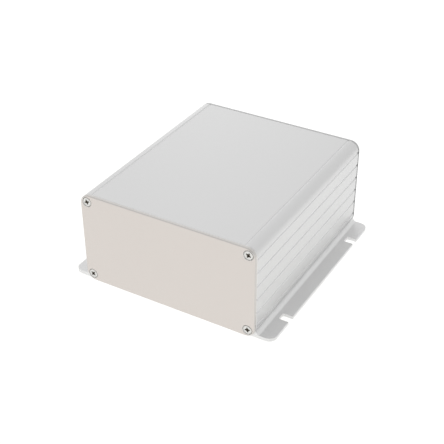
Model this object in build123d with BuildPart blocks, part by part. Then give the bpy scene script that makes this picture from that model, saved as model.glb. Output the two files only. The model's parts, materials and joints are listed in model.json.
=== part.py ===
"""Extruded aluminium enclosure with mounting flanges, in millimetres.

Two open shells, cut from two extrusions, close on each other in a groove of the side wall.
Two flat end plates hold them together with eight countersunk screws, which run into open
screw channels in the four corners of the section.

Frame: X across the section, Y along the extrusion with the front at -Y, Z up.
The origin is the centre of the underside.
"""

from build123d import *
from math import floor
import os

# Case section and length
body_width = 106.0
body_height = 55.3
body_length = 122.7
side_wall = 2.0
top_wall = 2.0
floor_wall = 2.0
corner_radius = 5.8

# Grooves along the side walls, counted down from the top
groove_width = 1.5
groove_depth = 0.6
groove_pitch = 8.3
first_groove_drop = 6.1

# Fine crease along each side of the top
crease_inset = 6.7
crease_width = 1.2
crease_depth = 0.4

# Mounting flanges, punched after extrusion
flange_reach = 10.0
flange_thickness = 1.9
flange_root_radius = 2.3
flange_edge_radius = 0.4
flange_corner_radius = 5.0
slot_width = 5.2
slot_depth = 5.9
slot_corner_radius = 1.2
slot_spacing = 82.6

# Seam between the two shells
seam_gap = 0.1
lip_thickness = 1.2
lip_height = 2.5
lip_root_height = 3.0
lip_rounding = 0.3
lip_clearance = 0.15

# Rails that hold a circuit board by its edges
rail_thickness = 1.2
rail_reach = 2.2
card_slot_height = 1.8

# Bevel around the sawn ends of the shells
end_bevel = 0.5

# End plates
plate_thickness = 1.5
plate_arris = 0.5

# Screws and their channels
screw_inset = 4.25
thread_diameter = 3.0
thread_clearance = 0.05
channel_wall = 1.55
channel_mouth = 1.4
screw_length = 8.0
head_rim = 0.15
head_sink = 0.1
seat_clearance = 0.02
tip_chamfer = 0.4
recess_width = 3.0
recess_wing = 0.75
recess_depth = 1.1
recess_draft = 10

# How far each screw has turned when it is tight, in degrees
screw_turns = (20, 65, 50, 10, 35, 80, 5, 55)

# Faces and fits of the case, from the sizes above
half_width = body_width / 2
inner_face = half_width - side_wall
flange_span = body_width + 2 * flange_reach
lip_outer = inner_face - lip_clearance
lip_inner = lip_outer - lip_thickness
finger_outer = lip_inner - lip_clearance
finger_inner = finger_outer - lip_thickness

# Screws: the cone of a head is as deep as the plate, and each channel clears the thread
thread_radius = thread_diameter / 2
cone_height = plate_thickness - head_sink - head_rim
head_radius = thread_radius + cone_height
countersink_radius = head_radius + head_rim + head_sink + seat_clearance
channel_bore = thread_radius + thread_clearance
channel_radius = channel_bore + channel_wall
channel_x = half_width - screw_inset
channel_low = screw_inset
channel_high = body_height - screw_inset

# The grooves repeat down the wall as far as the fillet at the root of the flange
top_groove = body_height - first_groove_drop
groove_limit = flange_thickness + flange_root_radius + groove_width
groove_count = floor((top_groove - groove_limit) / groove_pitch) + 1
groove_heights = [top_groove - i * groove_pitch for i in range(groove_count)]

# The shells part in the groove nearest to half the height
seam_height = min(groove_heights, key=lambda z: abs(z - body_height / 2))
lip_top = seam_height + lip_height
web_base = lip_top + lip_clearance
web_top = web_base + lip_thickness

# A card slot lies behind the middle of each land that the seam and the channels leave free
slot_reach = card_slot_height / 2 + rail_thickness
land_heights = [z - groove_pitch / 2 for z in groove_heights]
upper_range = (web_top + slot_reach, channel_high - channel_radius - slot_reach)
lower_range = (channel_low + channel_radius + slot_reach, seam_height - lip_root_height - slot_reach)
upper_slots = [z for z in land_heights if upper_range[0] < z < upper_range[1]]
lower_slots = [z for z in land_heights if lower_range[0] < z < lower_range[1]]


def both_sides(x, *heights):
    """The places at plus and minus x, at each of the heights."""
    return [(side * x, z) for z in heights for side in (-1, 1)]


def groove_cutter(width, depth):
    """Radius of the round cutter that leaves a groove of this width and depth."""
    return (width**2 / 4 + depth**2) / (2 * depth)


def cut_cavity():
    """The hollow inside the walls, top and floor, with rounded corners."""
    with Locations((0, (body_height - top_wall + floor_wall) / 2)):
        height = body_height - top_wall - floor_wall
        RectangleRounded(2 * inner_face, height, corner_radius - side_wall, mode=Mode.SUBTRACT)


def cut_side_grooves():
    """Round-bottomed grooves along both side walls."""
    cutter = groove_cutter(groove_width, groove_depth)
    with Locations(*both_sides(half_width + cutter - groove_depth, *groove_heights)):
        Circle(cutter, mode=Mode.SUBTRACT)


def cut_top_creases():
    """A fine crease along each side of the top."""
    cutter = groove_cutter(crease_width, crease_depth)
    with Locations(*both_sides(half_width - crease_inset, body_height + cutter - crease_depth)):
        Circle(cutter, mode=Mode.SUBTRACT)


def add_card_slots(heights):
    """A pair of rails on both walls at each height, with the board's edge between them."""
    if heights:
        with Locations(*both_sides(inner_face - rail_reach / 2, *heights)):
            Rectangle(rail_reach, card_slot_height + 2 * rail_thickness)
            Rectangle(rail_reach, card_slot_height, mode=Mode.SUBTRACT)


def add_channels(height):
    """A round screw channel in both corners at this height, before it is bored."""
    with Locations(*both_sides(channel_x, height)):
        Circle(channel_radius)


def bore_channels(height):
    """The bores of both channels, each open along its inward side."""
    with Locations(*both_sides(channel_x, height)):
        Circle(channel_bore, mode=Mode.SUBTRACT)
    with Locations(*both_sides(channel_x - channel_radius / 2, height)):
        Rectangle(channel_radius, channel_mouth, mode=Mode.SUBTRACT)


# The outside of the case between its flanges, with both sawn ends bevelled
with BuildPart() as envelope:
    with BuildSketch(Plane.XZ):
        with Locations((0, body_height / 2)):
            RectangleRounded(body_width, body_height, corner_radius)
    extrude(amount=body_length / 2, both=True)
    ends = envelope.faces().sort_by(Axis.Y)
    chamfer(ends[0].edges() + ends[-1].edges(), length=end_bevel)

# The same on the plan of the flanges, which have rounded corners and open slots
with BuildPart() as flanged_envelope:
    with BuildSketch(Plane.XY):
        RectangleRounded(flange_span, body_length, flange_corner_radius)
        with GridLocations(flange_span, slot_spacing, 2, 2):
            RectangleRounded(2 * slot_depth, slot_width, slot_corner_radius, mode=Mode.SUBTRACT)
    extrude(amount=flange_thickness + flange_root_radius)
    add(envelope.part)

# Upper shell: the top, the upper side walls, and a finger that hooks behind each lip
with BuildPart() as upper_shell:
    with BuildSketch(Plane.XZ):
        with Locations((0, body_height / 2)):
            RectangleRounded(body_width, body_height, corner_radius)
        cut_cavity()
        add_channels(channel_high)
        add_card_slots(upper_slots)
        with Locations(*both_sides((inner_face + finger_inner) / 2, (web_base + web_top) / 2)):
            Rectangle(inner_face - finger_inner, lip_thickness)
        with Locations(*both_sides((finger_outer + finger_inner) / 2, (seam_height + web_base) / 2)):
            Rectangle(lip_thickness, web_base - seam_height)
        bore_channels(channel_high)
        cut_side_grooves()
        cut_top_creases()
        with Locations((0, seam_height + seam_gap / 2)):
            Rectangle(body_width, body_height, align=(Align.CENTER, Align.MIN), mode=Mode.INTERSECT)
    extrude(amount=body_length / 2, both=True)
    add(envelope.part, mode=Mode.INTERSECT)

# Lower shell: the floor with both flanges, the lower side walls, and a lip along each wall
with BuildPart() as lower_shell:
    with BuildSketch(Plane.XZ) as lower_section:
        Rectangle(body_width, seam_height - seam_gap / 2, align=(Align.CENTER, Align.MIN))
        Rectangle(flange_span, flange_thickness, align=(Align.CENTER, Align.MIN))
        by_side = lower_section.vertices().group_by(Axis.X)
        fillet(by_side[0] + by_side[-1], radius=flange_edge_radius)
        roots = lower_section.vertices().filter_by(
            lambda v: flange_edge_radius < v.Y < seam_height / 2 and abs(v.X) < half_width + seam_gap
        )
        fillet(roots, radius=flange_root_radius)
        cut_cavity()
        add_channels(channel_low)
        add_card_slots(lower_slots)
        with Locations(*both_sides((inner_face + lip_inner) / 2, seam_height - seam_gap / 2)):
            Rectangle(inner_face - lip_inner, lip_root_height, align=(Align.CENTER, Align.MAX))
        with Locations(*both_sides((lip_outer + lip_inner) / 2, lip_top)):
            Rectangle(lip_thickness, lip_height + seam_gap, align=(Align.CENTER, Align.MAX))
        fillet(lower_section.vertices().group_by(Axis.Y)[-1], radius=lip_rounding)
        bore_channels(channel_low)
        cut_side_grooves()
    extrude(amount=body_length / 2, both=True)
    add(flanged_envelope.part, mode=Mode.INTERSECT)


def end_plane(side, out=0.0):
    """Plane across one end of the case, facing outwards, this far out from the shells."""
    centre = (0, side * (body_length / 2 + out), body_height / 2)
    return Plane(origin=centre, x_dir=(-side, 0, 0), z_dir=(0, side, 0))


def end_plate(side):
    """Flat plate with the outline of the case and a countersunk hole in each corner."""
    with BuildPart() as plate:
        with BuildSketch(end_plane(side)):
            RectangleRounded(body_width, body_height, corner_radius)
        extrude(amount=plate_thickness)
        outer_face = plate.faces().sort_by(Axis((0, 0, 0), (0, side, 0)))[-1]
        chamfer(outer_face.edges(), length=plate_arris)
        with Locations(end_plane(side, plate_thickness)):
            with GridLocations(2 * channel_x, channel_high - channel_low, 2, 2):
                CounterSinkHole(
                    radius=channel_bore,
                    counter_sink_radius=countersink_radius,
                    depth=plate_thickness,
                    counter_sink_angle=90,
                )
    return plate


def end_screw(side, x, z, turn):
    """Countersunk screw with a cross recess, its head a little below the face of the plate."""
    centre = (x, side * (body_length / 2 + plate_thickness - head_sink), z)
    with BuildPart() as screw:
        with BuildSketch(Plane(origin=centre, x_dir=(1, 0, 0), z_dir=(0, 0, side))):
            with BuildLine():
                Polyline(
                    (0, 0),
                    (head_radius, 0),
                    (head_radius, -head_rim),
                    (thread_radius, -head_rim - cone_height),
                    (thread_radius, tip_chamfer - screw_length),
                    (thread_radius - tip_chamfer, -screw_length),
                    (0, -screw_length),
                    close=True,
                )
            make_face()
        revolve(axis=Axis(centre, (0, side, 0)))
        with BuildSketch(Plane(origin=centre, x_dir=(-side, 0, 0), z_dir=(0, side, 0))):
            Rectangle(recess_width, recess_wing, rotation=turn)
            Rectangle(recess_wing, recess_width, rotation=turn)
        extrude(amount=-recess_depth, taper=recess_draft, mode=Mode.SUBTRACT)
    return screw


# Every piece by name; left and right are as seen from the front
pieces = {
    "upper_shell": upper_shell,
    "lower_shell": lower_shell,
    "front_plate": end_plate(-1),
    "rear_plate": end_plate(1),
}
screw_places = [
    (f"{end}_screw_{level}_{hand}", side, x, z)
    for end, side in (("front", -1), ("rear", 1))
    for level, z in (("upper", channel_high), ("lower", channel_low))
    for hand, x in (("left", -channel_x), ("right", channel_x))
]
for (name, side, x, z), turn in zip(screw_places, screw_turns):
    pieces[name] = end_screw(side, x, z, turn)

os.makedirs("parts", exist_ok=True)
for name, piece in pieces.items():
    piece.part.label = name
    export_step(piece.part, f"parts/{name}.step")
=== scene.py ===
"""Looks of the extruded aluminium enclosure: satin shells, matte end plates and bright screws.

Everything is in metres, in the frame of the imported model: X across the case, the front plate
at -Y, Z up, and the underside at zero.
"""

import json
from collections import namedtuple
from math import cos, pi, radians, sin

import bmesh
import bpy
from mathutils import Matrix, Vector


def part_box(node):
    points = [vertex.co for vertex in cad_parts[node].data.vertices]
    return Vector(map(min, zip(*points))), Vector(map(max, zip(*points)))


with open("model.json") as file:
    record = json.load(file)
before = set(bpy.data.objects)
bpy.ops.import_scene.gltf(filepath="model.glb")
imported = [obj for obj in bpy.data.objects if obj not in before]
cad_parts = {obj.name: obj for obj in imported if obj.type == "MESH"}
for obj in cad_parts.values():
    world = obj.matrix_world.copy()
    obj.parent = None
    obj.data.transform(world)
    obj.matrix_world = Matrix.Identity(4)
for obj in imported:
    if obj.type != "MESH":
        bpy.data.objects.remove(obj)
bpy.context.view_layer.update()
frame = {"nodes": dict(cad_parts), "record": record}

MM = 0.001

# Camera, fitted to the edges of the case in the photograph
CAMERA_AZIMUTH = 30.305
CAMERA_ELEVATION = 33.530
CAMERA_ROLL = -0.184
CAMERA_DISTANCE = 566.40 * MM
CAMERA_ACROSS = -2.402 * MM
CAMERA_ABOVE = 15.468 * MM
LENS = 78.788
SENSOR = 36.0
CLIP_START = 0.01
CLIP_END = 100.0

# White table, which gives light: a little warmer and dimmer in front of the case than behind it.
# It lies a hair below the case, and a little to the right, so that the line between its two
# triangles doesn't pass under the case.
FLOOR_SIZE = 1.6
FLOOR_MIDDLE = (0.2, 0.0, -0.05 * MM)
FLOOR_GLOW = 1.13
FLOOR_FRONT = (0.957, 0.955, 0.940, 1.0)
FLOOR_REAR = (1.0, 1.0, 0.996, 1.0)
FLOOR_TURN = (-40 * MM, 120 * MM)

# Light tent, with patches that fade in between two cosines of the angle from their direction,
# and a white backdrop for the camera
Patch = namedtuple("Patch", "direction level outer inner")
TENT_LEVEL = 0.875
BRIGHT_WALL = Patch((-0.68, 0.66, 0.32), 0.97, 0.75, 0.98)
DIM_CORNER = Patch((0.69, 0.72, 0.0), 0.71, 0.82, 0.98)
CAMERA_OPENING = Patch((0.42, -0.72, 0.55), 0.06, 0.92, 0.985)
BACKDROP_LEVEL = 1.1

# One soft panel behind the case on the left
PANEL_PLACE = (-0.33, 0.52, 0.17)
PANEL_SIZE = 0.30
PANEL_POWER = 0.17

# Places on the case, from the frame
front_plate_low, front_plate_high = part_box("front_plate")
shell_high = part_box("upper_shell")[1]
screw_low, screw_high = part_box("front_screw_upper_right")
lower_screw_low, lower_screw_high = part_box("front_screw_lower_right")
PLATE_FACE = -front_plate_low.y
PLATE_THICKNESS = front_plate_high.y - front_plate_low.y
WALL_FACE = shell_high.x
TOP_FACE = shell_high.z
SHELL_END = shell_high.y
FLANGE_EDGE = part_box("lower_shell")[1].x
SCREW_FACE = -screw_low.y
SCREW_X = (screw_low.x + screw_high.x) / 2
SCREW_HIGH = (screw_low.z + screw_high.z) / 2
SCREW_LOW = (lower_screw_low.z + lower_screw_high.z) / 2
HEAD_RADIUS = (screw_high.x - screw_low.x) / 2

# Where the tones of the shells begin and end. A pair is a soft edge, from none to all of the tone.
CORNER_INSET = 5.8 * MM
TOP_GROOVE_DROP = 5.3 * MM
GROOVE_DEPTH = (0.08 * MM, 0.35 * MM)
CREASE_DEPTH = (0.05 * MM, 0.30 * MM)
LOWEST_GROOVE_TOP = 10 * MM
LOWEST_LAND_TOP = 7.2 * MM
FLANGE_START = WALL_FACE + 0.02 * MM
ROOT_START = 1.95 * MM
# Start of the painted light at the shells' front ends
FRONT_END_LIGHT_START = SHELL_END - 0.55 * MM
# Soft start of the painted highlight along the flange's outer edge
FLANGE_EDGE_HIGHLIGHT_START = (FLANGE_EDGE - 0.35 * MM, FLANGE_EDGE - 0.05 * MM)

# Where the tones of the plates begin, in from the outer face or out from the middle
ARRIS_DEPTH = (0.02 * MM, 0.08 * MM)
EDGE_DEPTH = (0.42 * MM, 0.58 * MM)
INSIDE_DEPTH = PLATE_THICKNESS - 0.04 * MM
# Start of the painted shade in the joint at the sides of the rear plate
REAR_JOINT_SHADE_START = WALL_FACE - 0.7 * MM
SEAT_RADIUS = 1.2 * HEAD_RADIUS

# Where the parts of a screw's head begin and end
WING_DEPTH = (0.03 * MM, 0.3 * MM)
WING_RADIUS = 0.62 * HEAD_RADIUS
MIDDLE_RADII = (0.26 * HEAD_RADIUS, 0.42 * HEAD_RADIUS)
RIM_RADII = (0.82 * HEAD_RADIUS, 1.02 * HEAD_RADIUS)
RING_PITCH = 0.12 * MM

# Satin finish of the shells: fine die lines along Y, an etched grain, and a faint cloud
DIE_LINES = {"scale": 1600.0, "detail": 3.0, "roughness": 0.6}
DIE_LINE_STRETCH = (1.0, 0.006, 1.0)
ETCH = {"scale": 5200.0}
SHELL_CLOUD = {"scale": 30.0}
SHELL_ROUGHNESS = 0.55
SHELL_ROUGHNESS_SPREAD = 0.02
SHELL_GRAIN = 0.35

# Matte finish of the plates: a blasted grain, and a faint cloud
BLAST = {"scale": 4200.0, "detail": 3.0, "roughness": 0.55}
PLATE_CLOUD = {"scale": 26.0}
PLATE_ROUGHNESS = 0.46
PLATE_ROUGHNESS_SPREAD = 0.1
PLATE_GRAIN = 0.4

# Both grains are this deep at a strength of 1
GRAIN_DEPTH = 0.02 * MM

# Plating of the screws, and the relief of their heads, in millimetres
PLATING = {"scale": 3000.0}
HEAD_ROUGHNESS = 0.26
HEAD_ROUGHNESS_SPREAD = 0.08
RECESS_ROUGHNESS = 0.3
RING_HEIGHT = 0.01
PLATING_HEIGHT = 0.02
RIM_FALL = 0.5
MIDDLE_FALL = 0.4


def grey(level):
    return (level, level, level, 1.0)


# Tones of the shells. Beside the wall tones they are painted light, lighter than the wall over the
# shade of their places. The first groove tone is the lowest groove's, kept darker than the others
# as painted shade.
WALL_TONES = grey(0.738), grey(0.750)
# Painted light in the grooves over their shade, less in the lowest groove, which keeps a painted
# shade
GROOVE_PAINTED_LIGHT_TONES = grey(0.74), grey(0.83)
# Painted light inside the crease along the top, over its shade
CREASE_PAINTED_LIGHT_TONE = grey(0.81)
# Painted highlight on the root fillet between the wall and the flange
ROOT_PAINTED_HIGHLIGHT_TONE = grey(0.84)
# Painted light on the flange and the foot of the wall
FLANGE_AND_FOOT_PAINTED_LIGHT_TONE = grey(0.765)
# Painted light on the shells' front end bevels, over the shade of the joint with the front plate
FRONT_END_PAINTED_LIGHT_TONE = grey(0.81)
# Painted highlight along the flange's outer edge
FLANGE_EDGE_PAINTED_HIGHLIGHT_TONE = grey(0.80)

# Tones of the end plates
PLATE_TONES = (0.694, 0.652, 0.623, 1.0), (0.716, 0.674, 0.645, 1.0)
# Painted shade on the arris round the outer face of both plates
ARRIS_PAINTED_SHADE_TONE = (0.63, 0.61, 0.59, 1.0)
FRONT_EDGE_TONE = (0.69, 0.67, 0.65, 1.0)
# Painted shade on the edges of the rear plate, darker than the front plate's
REAR_EDGE_PAINTED_SHADE_TONE = grey(0.58)
INSIDE_TONE = grey(0.75)
# Painted shade, nearly black, in the joint at the sides of the rear plate
REAR_JOINT_PAINTED_SHADE_TONE = grey(0.03)
# Painted light in the countersinks, over their shade
SEAT_PAINTED_LIGHT_TONE = grey(0.85)

# Tones of the screws
HEAD_TONE = (0.73, 0.725, 0.71, 1.0)
# Painted shade ring round the rim of each head, where the countersink's gap is
RIM_PAINTED_SHADE_TONE = (0.45, 0.43, 0.40, 1.0)
# Dirt and painted shade in the cross recess and its middle
RECESS_DIRT_AND_SHADE_TONE = (0.29, 0.26, 0.22, 1.0)


class Signal:
    """The output of a shader node, which Python's operators turn into Math nodes."""

    def __init__(self, shader, socket):
        self.shader = shader
        self.socket = socket

    def maths(self, operation, *values):
        return self.shader.add("ShaderNodeMath", {"operation": operation}, dict(enumerate(values)))

    def __add__(self, other):
        return self.maths("ADD", self, other)

    __radd__ = __add__

    def __sub__(self, other):
        return self.maths("SUBTRACT", self, other)

    def __rsub__(self, other):
        return self.maths("SUBTRACT", other, self)

    def __mul__(self, other):
        return self.maths("MULTIPLY", self, other)

    def __pow__(self, other):
        return self.maths("POWER", self, other)

    def __abs__(self):
        return self.maths("ABSOLUTE", self)

    def __gt__(self, other):
        return self.maths("GREATER_THAN", self, other)

    def __lt__(self, other):
        return self.maths("LESS_THAN", self, other)

    def __or__(self, other):
        return self.maths("MAXIMUM", self, other)

    def wave(self):
        return self.maths("SINE", self)


class Shader:
    """A tree of shader nodes, each added by one call."""

    def __init__(self, owner):
        owner.use_nodes = True
        self.tree = owner.node_tree
        self.tree.nodes.clear()

    def add(self, kind, settings=None, inputs=None, output=0):
        """One node: its type, its own settings, and the values or signals of its sockets."""
        node = self.tree.nodes.new(kind)
        for name, value in (settings or {}).items():
            setattr(node, name, value)
        for socket, value in (inputs or {}).items():
            if isinstance(value, Signal):
                self.tree.links.new(value.socket, node.inputs[socket])
            else:
                node.inputs[socket].default_value = value
        return Signal(self, node.outputs[output]) if node.outputs else None

    def place(self):
        """Object coordinates, in metres."""
        return self.add("ShaderNodeTexCoord", output="Object")

    def axes(self, vector):
        """The three components of a vector."""
        split = self.add("ShaderNodeSeparateXYZ", inputs={0: vector})
        return [Signal(self, socket) for socket in split.socket.node.outputs]

    def stretched(self, vector, scales):
        """The vector with each component scaled."""
        return self.add("ShaderNodeVectorMath", {"operation": "MULTIPLY"}, {0: vector, 1: scales})

    def along(self, vector, direction):
        """How far a vector goes in a direction."""
        inputs = {0: vector, 1: direction}
        return self.add("ShaderNodeVectorMath", {"operation": "DOT_PRODUCT"}, inputs, "Value")

    def noise(self, vector, scale, detail=2.0, roughness=0.5):
        inputs = {"Vector": vector, "Scale": scale, "Detail": detail, "Roughness": roughness}
        return self.add("ShaderNodeTexNoise", inputs=inputs, output="Fac")

    def blend(self, share, first, second):
        """A colour between two, by a signal from 0 to 1."""
        return self.add("ShaderNodeMix", {"data_type": "RGBA"}, {0: share, 6: first, 7: second}, 2)

    def smooth_step(self, value, low, high):
        """From 0 at the low value to 1 at the high one."""
        settings = {"interpolation_type": "SMOOTHSTEP"}
        inputs = {"Value": value, "From Min": low, "From Max": high}
        return self.add("ShaderNodeMapRange", settings, inputs)

    def bump(self, height, distance, strength=1.0):
        inputs = {"Height": height, "Strength": strength, "Distance": distance}
        return self.add("ShaderNodeBump", inputs=inputs)

    def metal(self, base, roughness, normal):
        """The shader of a metal piece, and the tree's output."""
        inputs = {"Base Color": base, "Metallic": 1.0, "Roughness": roughness, "Normal": normal}
        self.end(self.add("ShaderNodeBsdfPrincipled", inputs=inputs))

    def end(self, surface, output="ShaderNodeOutputMaterial"):
        """The tree's output, which shows the surface."""
        self.add(output, inputs={"Surface": surface})


def from_screw(x, z):
    """The distance from the axis of the nearest screw."""
    middle = (SCREW_HIGH + SCREW_LOW) / 2
    across = abs(x) - SCREW_X
    above = abs(z - middle) - (SCREW_HIGH - middle)
    return (across**2.0 + above**2.0) ** 0.5


def satin_anodising():
    """Etched and anodised extrusion: fine die lines along Y, and an even satin grain, with painted
    light in the grooves, the crease, on the root, the flange, the foot of the wall and the front
    ends, and a painted highlight on the flange edges.
    """
    material = bpy.data.materials.new("satin_anodising")
    shader = Shader(material)
    place = shader.place()
    x, y, z = shader.axes(place)
    x, front = abs(x), 0.0 - y
    die_lines = shader.noise(shader.stretched(place, DIE_LINE_STRETCH), **DIE_LINES)
    etch = shader.noise(place, **ETCH)
    cloud = shader.noise(place, **SHELL_CLOUD)
    # Masks of the places that take painted light
    groove = shader.smooth_step(WALL_FACE - x, *GROOVE_DEPTH) * (z < TOP_FACE - TOP_GROOVE_DROP)
    groove_painted_light = shader.blend(z > LOWEST_GROOVE_TOP, *GROOVE_PAINTED_LIGHT_TONES)
    crease = shader.smooth_step(TOP_FACE - z, *CREASE_DEPTH) * (x < WALL_FACE - CORNER_INSET)
    flange = x > FLANGE_START
    root = flange * (z > ROOT_START)
    front_end_painted_light = front > FRONT_END_LIGHT_START
    flange_edge_highlight = shader.smooth_step(x, *FLANGE_EDGE_HIGHLIGHT_START)
    base = shader.blend(cloud * 0.5 + die_lines * 0.5, *WALL_TONES)
    # Painted light: the flange with the foot of the wall, the grooves (less in the lowest), the
    # crease, the root, the front ends and the flange edges
    base = shader.blend(flange | (z < LOWEST_LAND_TOP), base, FLANGE_AND_FOOT_PAINTED_LIGHT_TONE)
    base = shader.blend(groove, base, groove_painted_light)
    base = shader.blend(crease, base, CREASE_PAINTED_LIGHT_TONE)
    base = shader.blend(root, base, ROOT_PAINTED_HIGHLIGHT_TONE)
    base = shader.blend(front_end_painted_light, base, FRONT_END_PAINTED_LIGHT_TONE)
    base = shader.blend(flange_edge_highlight, base, FLANGE_EDGE_PAINTED_HIGHLIGHT_TONE)
    roughness = SHELL_ROUGHNESS + (die_lines + etch) * SHELL_ROUGHNESS_SPREAD
    grain = shader.bump(die_lines * 0.6 + etch * 0.4, GRAIN_DEPTH, SHELL_GRAIN)
    shader.metal(base, roughness, grain)
    return material


def matte_anodising():
    """Blasted and anodised sheet, a little warmer than the shells, with sheared edges; painted
    shade darkens the arris, the rear plate's edges and, nearly black, the joint at the rear
    plate's sides, and painted light brightens the countersinks.
    """
    material = bpy.data.materials.new("matte_anodising")
    shader = Shader(material)
    place = shader.place()
    x, y, z = shader.axes(place)
    blast = shader.noise(place, **BLAST)
    cloud = shader.noise(place, **PLATE_CLOUD)
    depth = PLATE_FACE - abs(y)
    rear = y > 0.0
    arris = shader.smooth_step(depth, *ARRIS_DEPTH)
    edge = shader.smooth_step(depth, *EDGE_DEPTH)
    inside = (depth > INSIDE_DEPTH) * rear
    # Where the rear plate's inner face meets the shells' sides, which takes painted shade
    rear_joint_shade = abs(x) > REAR_JOINT_SHADE_START
    seat = from_screw(x, z) < SEAT_RADIUS
    base = shader.blend(cloud * 0.6 + blast * 0.4, *PLATE_TONES)
    # Painted shade on the arris and the rear edges, painted shade in the rear joint, painted light
    # in the countersinks
    base = shader.blend(arris, base, ARRIS_PAINTED_SHADE_TONE)
    base = shader.blend(edge, base, FRONT_EDGE_TONE)
    base = shader.blend(edge * rear, base, REAR_EDGE_PAINTED_SHADE_TONE)
    base = shader.blend(inside, base, INSIDE_TONE)
    base = shader.blend(inside * rear_joint_shade, base, REAR_JOINT_PAINTED_SHADE_TONE)
    base = shader.blend(arris * seat, base, SEAT_PAINTED_LIGHT_TONE)
    roughness = PLATE_ROUGHNESS + blast * PLATE_ROUGHNESS_SPREAD
    shader.metal(base, roughness, shader.bump(blast, GRAIN_DEPTH, PLATE_GRAIN))
    return material


def bright_plating():
    """Plated steel of the screws: turned rings, a rolled rim with a painted shade ring, and a
    cross recess darkened by dirt and painted shade, its middle painted dark.
    """
    material = bpy.data.materials.new("bright_plating")
    shader = Shader(material)
    place = shader.place()
    x, y, z = shader.axes(place)
    radius = from_screw(x, z)
    depth = SCREW_FACE - abs(y)
    wings = shader.smooth_step(depth, *WING_DEPTH) * (radius < WING_RADIUS)
    middle = 1.0 - shader.smooth_step(radius, *MIDDLE_RADII)
    rim = shader.smooth_step(radius, *RIM_RADII)
    rings = (radius * (2 * pi / RING_PITCH)).wave()
    grain = shader.noise(place, **PLATING)
    recess = wings | middle
    # Painted shade ring round the rim; dirt and painted shade in the recess and its middle
    base = shader.blend(rim, HEAD_TONE, RIM_PAINTED_SHADE_TONE)
    base = shader.blend(recess, base, RECESS_DIRT_AND_SHADE_TONE)
    relief = rings * RING_HEIGHT + grain * PLATING_HEIGHT - rim * RIM_FALL - middle * MIDDLE_FALL
    roughness = HEAD_ROUGHNESS + grain * HEAD_ROUGHNESS_SPREAD + recess * RECESS_ROUGHNESS
    shader.metal(base, roughness, shader.bump(relief, MM))
    return material


def finish_nodes():
    """Each node of the case takes the finish of its slot in the record."""
    finishes = {
        "anodised_shell": satin_anodising(),
        "end_plate": matte_anodising(),
        "screw": bright_plating(),
    }
    for subpart in frame["record"]["subparts"]:
        node = frame["nodes"][subpart["node"]]
        node.data.materials.clear()
        node.data.materials.append(finishes[subpart["material_slot"]])


def make_camera():
    """The photograph's camera: its angle, its distance and its lens."""
    azimuth, elevation, roll = map(radians, (CAMERA_AZIMUTH, CAMERA_ELEVATION, CAMERA_ROLL))
    back = Vector((sin(azimuth) * cos(elevation), -cos(azimuth) * cos(elevation), sin(elevation)))
    level = Vector((cos(azimuth), sin(azimuth), 0.0))
    above = back.cross(level)
    right = level * cos(roll) + above * sin(roll)
    up = above * cos(roll) - level * sin(roll)
    data = bpy.data.cameras.new("camera")
    data.lens = LENS
    data.sensor_width = SENSOR
    data.clip_start = CLIP_START
    data.clip_end = CLIP_END
    camera = bpy.data.objects.new("camera", data)
    camera.matrix_world = Matrix.LocRotScale(
        right * CAMERA_ACROSS + up * CAMERA_ABOVE + back * CAMERA_DISTANCE,
        Matrix((right, up, back)).transposed(),
        None,
    )
    bpy.context.scene.collection.objects.link(camera)
    bpy.context.scene.camera = camera


def make_floor():
    """A plain white table that the case stands on. It is clear from below."""
    sheet = bmesh.new()
    place = Matrix.Translation(FLOOR_MIDDLE)
    bmesh.ops.create_grid(sheet, x_segments=1, y_segments=1, size=FLOOR_SIZE / 2, matrix=place)
    mesh = bpy.data.meshes.new("floor")
    sheet.to_mesh(mesh)
    sheet.free()
    floor = bpy.data.objects.new("floor", mesh)
    bpy.context.scene.collection.objects.link(floor)
    material = bpy.data.materials.new("white_table")
    shader = Shader(material)
    y = shader.axes(shader.place())[1]
    colour = shader.blend(shader.smooth_step(y, *FLOOR_TURN), FLOOR_FRONT, FLOOR_REAR)
    glow = shader.add("ShaderNodeEmission", inputs={"Color": colour, "Strength": FLOOR_GLOW})
    below = shader.add("ShaderNodeNewGeometry", output="Backfacing")
    clear = shader.add("ShaderNodeBsdfTransparent")
    shader.end(shader.add("ShaderNodeMixShader", inputs={0: below, 1: glow, 2: clear}))
    mesh.materials.append(material)


def make_tent():
    """An even light tent all round, with its patches; the camera sees the backdrop instead."""
    world = bpy.data.worlds.new("light_tent")
    shader = Shader(world)
    direction = shader.add("ShaderNodeTexCoord", output="Generated")
    level = TENT_LEVEL
    for patch in (BRIGHT_WALL, DIM_CORNER, CAMERA_OPENING):
        cosine = shader.along(direction, patch.direction)
        share = shader.smooth_step(cosine, patch.outer, patch.inner)
        level = level + share * (patch.level - level)
    seen = shader.add("ShaderNodeLightPath", output="Is Camera Ray")
    level = level + seen * (BACKDROP_LEVEL - level)
    tent = shader.add("ShaderNodeBackground", inputs={"Color": grey(1.0), "Strength": level})
    shader.end(tent, "ShaderNodeOutputWorld")
    bpy.context.scene.world = world


def make_panel():
    """One soft panel, which the top of the case mirrors."""
    data = bpy.data.lights.new("soft_panel", "AREA")
    data.size = PANEL_SIZE
    data.energy = PANEL_POWER
    panel = bpy.data.objects.new("soft_panel", data)
    panel.location = PANEL_PLACE
    panel.rotation_euler = Vector(PANEL_PLACE).to_track_quat("Z", "Y").to_euler()
    panel.visible_camera = False
    bpy.context.scene.collection.objects.link(panel)


finish_nodes()
make_camera()
make_floor()
make_tent()
make_panel()
bpy.context.scene.view_settings.view_transform = "Standard"
